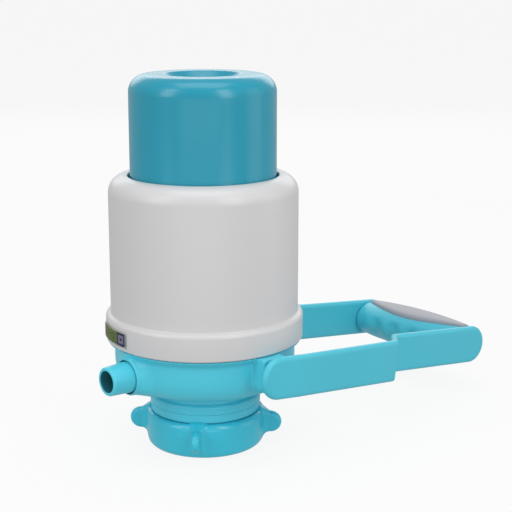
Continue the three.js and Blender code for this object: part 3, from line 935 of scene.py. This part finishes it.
def arm(side, node):
    def distance(x, y, z):
        return arm_distance(x, y * side, z)

    low, high = sorted((43 * side, 68 * side))
    step = 0.6
    mesh = skin(node, distance, (-13, low, -13), (ARM_REACH, high, 13), step, handle_plastic)
    outline = [(0, 50), (PIN_HOLE_R, 50), (PIN_HOLE_R, PIN_HOLE_END), (0, PIN_HOLE_END)]
    hole = turned("pin_hole", [(r, y * side) for r, y in outline], body_plastic, 48)
    mesh = carve(mesh, along_y(hole, 0))
    mesh.transform(HANDLE_LEVEL)
    return keep(mesh, node, "handle", handle_plastic)


arm(-1, "handle_arm_near")
arm(1, "handle_arm_far")

# %% [markdown]
# The grip is a barrel, fatter in the middle, with a row of shallow rests for the fingers on the side that
# faces the pump. A grey pad is let into its top: it is the same barrel made a little fatter, cut to a
# lens shape, and the pocket under it is cut by the same lens grown a little.
# %% Grip and its pad
GRIP_MID = 182.7
GRIP_HALF = 42.9
FINGER_PITCH = 17.2
FINGER_DEEP = 1.9
POCKET_Z = 6.4
LENS_HALF = 41
PAD_PROUD = 1.9


def barrel(u, v, w, extra):
    swell = 1 - np.clip(v / GRIP_HALF, -1, 1) ** 2
    half_width = 12.6 + 5.6 * swell + extra
    half_height = 10.6 + 1.9 * swell + extra
    fingers = FINGER_DEEP * (0.5 + 0.5 * np.cos(2 * math.pi * (v - 4) / FINGER_PITCH)) * swell
    half_width = half_width - fingers * np.clip((GRIP_MID - u) / 8, 0, 1) * np.clip((6 - w) / 4, 0, 1)
    return (np.hypot((u - GRIP_MID) / half_width, w / half_height) - 1) * half_height


def lens(u, v, grow):
    bow = 1 - (v / LENS_HALF) ** 2
    near_edge = 182 - 11 * bow - grow - u
    far_edge = u - (196 + 10 * bow + grow)
    return np.maximum(np.maximum(near_edge, far_edge), np.abs(v) - LENS_HALF - grow)


def grip_distance(u, v, w):
    body = soft_meet(barrel(u, v, w, 0), np.abs(v) - GRIP_HALF, 1.0)
    pocket = np.maximum(lens(u, v, 0.3), POCKET_Z - w)
    return soft_cut(body, pocket, 0.4)


def pad_distance(u, v, w):
    top = soft_meet(barrel(u, v, w, PAD_PROUD), lens(u, v, 0), 1.6)
    return soft_meet(top, POCKET_Z + 0.3 - w, 0.5)


GRIP_STEP = 0.55
grip = skin("grip", grip_distance, (164, -43, -13), (202, 43, 13), GRIP_STEP, handle_plastic)
grip.transform(HANDLE_LEVEL)
keep(grip, "grip_body", "handle", handle_plastic)
pad = skin("pad", pad_distance, (168, -43, 5), (205, 43, 17), GRIP_STEP, insert_plastic)
pad.transform(HANDLE_LEVEL)
keep(pad, "grip_insert", "handle", insert_plastic)

# %% [markdown]
# ## The pivots
# A steel pin in a blind hole of each arm turns in the ear, with a slippery washer between the faces.
# %% Pins and washers
for side, word in ((-1, "near"), (1, "far")):
    pin_outline = rounded([(0, 50), (3.9, 50, 0.6), (3.9, 66.4, 0.6), (0, 66.4)], 4)
    pin = turned("pin", [(r, z * side) for r, z in pin_outline], drawn_steel, 48)
    pin.transform(HANDLE_LEVEL @ Matrix.Rotation(math.radians(-90), 4, "X"))
    keep(pin, "pivot_pin_" + word, "handle", drawn_steel)
    corners = [(4.4, 62.1, 0.2), (7.8, 62.1, 0.2), (7.8, 63.1, 0.2), (4.4, 63.1, 0.2)]
    face = turned("washer", [(r, z * side) for r, z in rounded(corners, 3)], milky_plastic, 64)
    keep(along_y(face), "pivot_washer_" + word, "pump", milky_plastic)

# %% [markdown]
# ## Inside the pump
# A bellows does the pumping: the cap squeezes it, air goes down into the bottle and the water comes up
# the tube. Two plates carry the rubber flap valves. What repeats round the axis, the air holes in the
# plates and the slits of the collet, is placed by one more node tree: copies of a small cutter at equal
# turns.
# %% Copies round the axis
def circle_tree():
    sockets = [
        ("Cutter", "NodeSocketObject"),
        ("Count", "NodeSocketInt"),
        ("Radius", "NodeSocketFloat"),
        ("Finish", "NodeSocketMaterial"),
    ]
    tree = new_tree("copies_round_the_axis", sockets)
    entry = tree.nodes.new("NodeGroupInput")
    cutter = add(tree, "GeometryNodeObjectInfo", {"Object": (entry, "Cutter")})
    circle = {"Vertices": (entry, "Count"), "Radius": (entry, "Radius")}
    ring_points = add(tree, "GeometryNodeMeshCircle", circle)
    index = add(tree, "GeometryNodeInputIndex")
    share = add(tree, "ShaderNodeMath", {0: (index, 0), 1: (entry, "Count")}, operation="DIVIDE")
    turn = add(tree, "ShaderNodeMath", {0: (share, 0), 1: 2 * math.pi}, operation="MULTIPLY")
    facing = add(tree, "ShaderNodeCombineXYZ", {2: (turn, 0)})
    placed = {"Points": (ring_points, 0), "Instance": (cutter, "Geometry"), "Rotation": (facing, 0)}
    copies = add(tree, "GeometryNodeInstanceOnPoints", placed)
    close_tree(tree, copies, entry)
    return tree


COPIES = circle_tree()


def copies(cutter_mesh, count, radius):
    cutter = stand(cutter_mesh)
    values = {"Cutter": cutter, "Count": count, "Radius": radius, "Finish": milky_plastic}
    mesh = run_tree(COPIES, "copies", values)
    bpy.data.objects.remove(cutter)
    return mesh


six = copies(turned("cutter", [(0, -1), (1, -1), (1, 1), (0, 1)], milky_plastic, 12), 6, 7.0)
print("six copies have", len(six.vertices), "vertices")
bpy.data.meshes.remove(six)

# %% Plates and flap valves
def ported_plate(node, body, radius):
    low, high = (corner.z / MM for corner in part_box(node))
    corners = [(2.2, low, 0.2), (radius, low, 0.5), (radius, high, 0.5), (2.2, high, 0.2)]
    plate = turned(node, rounded(corners, 4), milky_plastic, 128)
    hole = turned("hole", [(0, low - 1), (1.7, low - 1), (1.7, high + 1), (0, high + 1)], milky_plastic, 24)
    return keep(carve(plate, copies(hole, 6, 7.0)), node, body, milky_plastic)


def flap_valve(node, body):
    low, high = (corner.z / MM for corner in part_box(node))
    corners = [
        (0, low), (4, low, 0.4), (10, low + 0.8, 0.25), (10, low + 1.6, 0.2), (1.8, low + 1.6, 0.2),
        (1.8, high, 0.4), (0, high),
    ]
    return keep(turned(node, rounded(corners, 4), valve_rubber, 64), node, body, valve_rubber)


ported_plate("deck_plate", "pump", 50.6)
ported_plate("bellows_top_plate", "cap", 37.0)
flap_valve("air_check_flap", "pump")
flap_valve("air_inlet_flap", "cap")

# %% [markdown]
# The bellows is one turned outline too, but its folds are worked out by a loop: a root and a crest for
# each fold, with round turns between them. It shortens with the cap's stroke; here it is drawn at the
# full height of its CAD piece.
# %% Bellows
BELLOWS_CREST, BELLOWS_ROOT, BELLOWS_WALL = 36.0, 30.0, 1.4
FOLDS = 7


def bellows_outline(foot, top):
    pitch = (top - foot - 8) / FOLDS
    outside, inside = [], []
    for fold in range(FOLDS + 1):
        z = foot + 4 + fold * pitch
        outside.append((BELLOWS_ROOT + BELLOWS_WALL, z, 0.9))
        inside.append((BELLOWS_ROOT, z, 0.9))
        if fold < FOLDS:
            outside.append((BELLOWS_CREST + 0.35, z + pitch / 2, 1.1))
            inside.append((BELLOWS_CREST - BELLOWS_WALL * 1.3, z + pitch / 2, 0.8))
    flange = [
        (BELLOWS_ROOT, foot), (40, foot, 0.4), (40, foot + 2, 0.4),
        (BELLOWS_ROOT + BELLOWS_WALL, foot + 2, 0.4),
    ]
    head = [
        (BELLOWS_ROOT + BELLOWS_WALL, top - 2, 0.4), (BELLOWS_CREST, top - 2, 0.4), (BELLOWS_CREST, top, 0.4),
        (BELLOWS_ROOT, top),
    ]
    return rounded(flange + outside + head + inside[::-1], 4)


bellows_foot, bellows_top = (corner.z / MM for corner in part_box("bellows"))
bellows = turned("bellows", bellows_outline(bellows_foot, bellows_top), valve_rubber, 96)
bellows_piece = keep(bellows, "bellows", "pump", valve_rubber)
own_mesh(bellows_piece)
clamp = rounded([
    (40.4, bellows_foot, 0.3), (44, bellows_foot, 0.5), (44, bellows_foot + 5, 0.8),
    (37.8, bellows_foot + 5, 0.5), (37.8, bellows_foot + 2.4, 0.3), (40.4, bellows_foot + 2.4, 0.3),
], 4)
keep(turned("clamp", clamp, milky_plastic, 96), "bellows_clamp_ring", "pump", milky_plastic)

# %% [markdown]
# The elbow is two pipes that meet in a fillet. The collet is a thin sleeve whose six fingers close on
# the neck, and under the base's plate sit the gasket and the socket that the dip tube pushes into.
# %% Elbow
def elbow_distance(x, y, z):
    riser = np.maximum(np.hypot(x, y) - 7.6, z - SPOUT_Z - 7.6)
    run = np.maximum(np.hypot(y, z - SPOUT_Z) - 7.4, x)
    pipe = soft_join(riser, run, 2.0)
    pipe = np.maximum(pipe, np.maximum(SEAT_Z + 4 - z, -43.6 - x))
    riser_bore = np.maximum(np.hypot(x, y) - 4.8, z - SPOUT_Z - 4)
    run_bore = np.maximum(np.hypot(y, z - SPOUT_Z) - 5.0, x)
    return soft_cut(pipe, np.minimum(riser_bore, run_bore), 0.6)


ELBOW_STEP = 0.6
elbow = skin("elbow", elbow_distance, (-44, -8, 34), (8, 8, 58), ELBOW_STEP, milky_plastic)
keep(elbow, "outlet_elbow", "pump", milky_plastic, crease=50)

# %% Collet, gasket and dip tube socket
NECK_R = 27.7
sleeve = rounded([
    (NECK_R, 2.2, 0.25), (NECK_R + 1, 2.2, 0.25), (NECK_R + 1, 27.4, 0.25), (NECK_R, 27.4, 0.25),
], 3)
slit = bmesh.new()
bmesh.ops.create_cube(slit, size=1)
bmesh.ops.scale(slit, verts=slit.verts, vec=(8, 2, 19))
bmesh.ops.translate(slit, verts=slit.verts, vec=(0, 0, 11))
slit_mesh = bpy.data.meshes.new("slit")
slit.to_mesh(slit_mesh)
slit.free()
collet = carve(turned("collet", sleeve, milky_plastic, 128), copies(slit_mesh, 6, NECK_R + 0.5))
keep(collet, "neck_collet", "pump", milky_plastic)
gasket = rounded([
    (19, SEAT_Z - 2.5, 0.5), (NECK_R - 0.5, SEAT_Z - 2.5, 0.5), (NECK_R - 0.5, SEAT_Z - 0.3, 0.3),
    (19, SEAT_Z - 0.3, 0.3),
], 4)
keep(turned("gasket", gasket, valve_rubber, 96), "neck_gasket", "pump", valve_rubber)
socket_outline = rounded([
    (3.2, 10, 0.3), (4.6, 10, 0.3), (5, 11), (5, SEAT_Z - 2.6), (12, SEAT_Z - 2.6, 0.4),
    (12, SEAT_Z - 0.3, 0.3), (4.4, SEAT_Z - 0.3, 0.2), (4.4, SEAT_Z + 9.5, 0.3), (3.2, SEAT_Z + 9.5, 0.3),
], 3)
tube_socket = turned("socket", socket_outline, milky_plastic, 64)
keep(tube_socket, "dip_tube_socket", "pump", milky_plastic)
print(len(made), "pieces,", sum(count for _, count in made), "triangles in all")

# %% [markdown]
# ## The studio
# The floor only has to be pale and carry a faint shadow under the pump. It glows by itself, so that it stays
# nearly white, and it does not throw that light back up at the pump. Two tall soft boxes stand in front,
# left and right, and their reflections are the two soft patches on every rounded shoulder. The other
# boxes lift the side, the top, the back and the foot, and a white room fills in the rest.
# %% Floor
def floor_finish():
    finish = Finish("floor_paper")
    finish.set(Base_Color=finish.blend(finish.noise(120, 3.0), (*[0.075] * 3, 1), (*[0.085] * 3, 1)))
    finish.shader.inputs["Roughness"].default_value = 0.9
    finish.shader.inputs["Specular IOR Level"].default_value = 0.0
    finish.shader.inputs["Emission Color"].default_value = (1, 1, 1, 1)
    finish.shader.inputs["Emission Strength"].default_value = 0.885
    return finish.material


FLOOR_HALF = 60.0
floor_mesh = bpy.data.meshes.new("floor")
floor_corners = [(x * FLOOR_HALF, y * FLOOR_HALF, -0.0002) for x, y in ((-1, -1), (1, -1), (1, 1), (-1, 1))]
floor_mesh.from_pydata(floor_corners, [], [(0, 1, 2, 3)])
floor_mesh.materials.append(floor_finish())
floor = stand(floor_mesh)
floor.visible_diffuse = floor.visible_glossy = floor.visible_shadow = False
print("floor", 2 * FLOOR_HALF, "m square")

# %% Light
def soft_box_light(name, turn, rise, distance, width, height, watts):
    """A rectangular light, placed by its turn from the camera's side and its rise above level."""
    light = bpy.data.objects.new(name, bpy.data.lights.new(name, "AREA"))
    light.data.shape = "RECTANGLE"
    light.data.size, light.data.size_y = width, height
    light.data.energy = watts
    away = math.radians(CAMERA_HEADING + 180 - turn)
    level = distance * math.cos(math.radians(rise))
    target = Vector((AXIS_X, 0, 0.11))
    offset = Vector((math.sin(away) * level, math.cos(away) * level, distance * math.sin(math.radians(rise))))
    light.location = target + offset
    light.rotation_euler = (-offset).to_track_quat("-Z", "Y").to_euler()
    bpy.context.scene.collection.objects.link(light)
    print(name, [round(v, 2) for v in light.location])


soft_box_light("left_box", -54, 27, 1.5, 0.50, 1.2, 5.8)
soft_box_light("right_box", 38, 27, 0.8, 0.26, 0.64, 1.75)
soft_box_light("side_fill", 88, 12, 1.6, 0.8, 1.4, 2.6)
soft_box_light("top_box", 0, 82, 1.3, 1.1, 0.8, 6.0)
soft_box_light("back_card", 180, 22, 1.7, 2.4, 0.7, 7.5)
soft_box_light("front_card", -4, -6, 0.8, 0.9, 0.22, 0.7)
world = bpy.data.worlds.new("room")
world.use_nodes = True
room = world.node_tree.nodes["Background"]
room.inputs["Color"].default_value = (1, 1, 1, 1)
room.inputs["Strength"].default_value = 0.50
bpy.context.scene.world = world
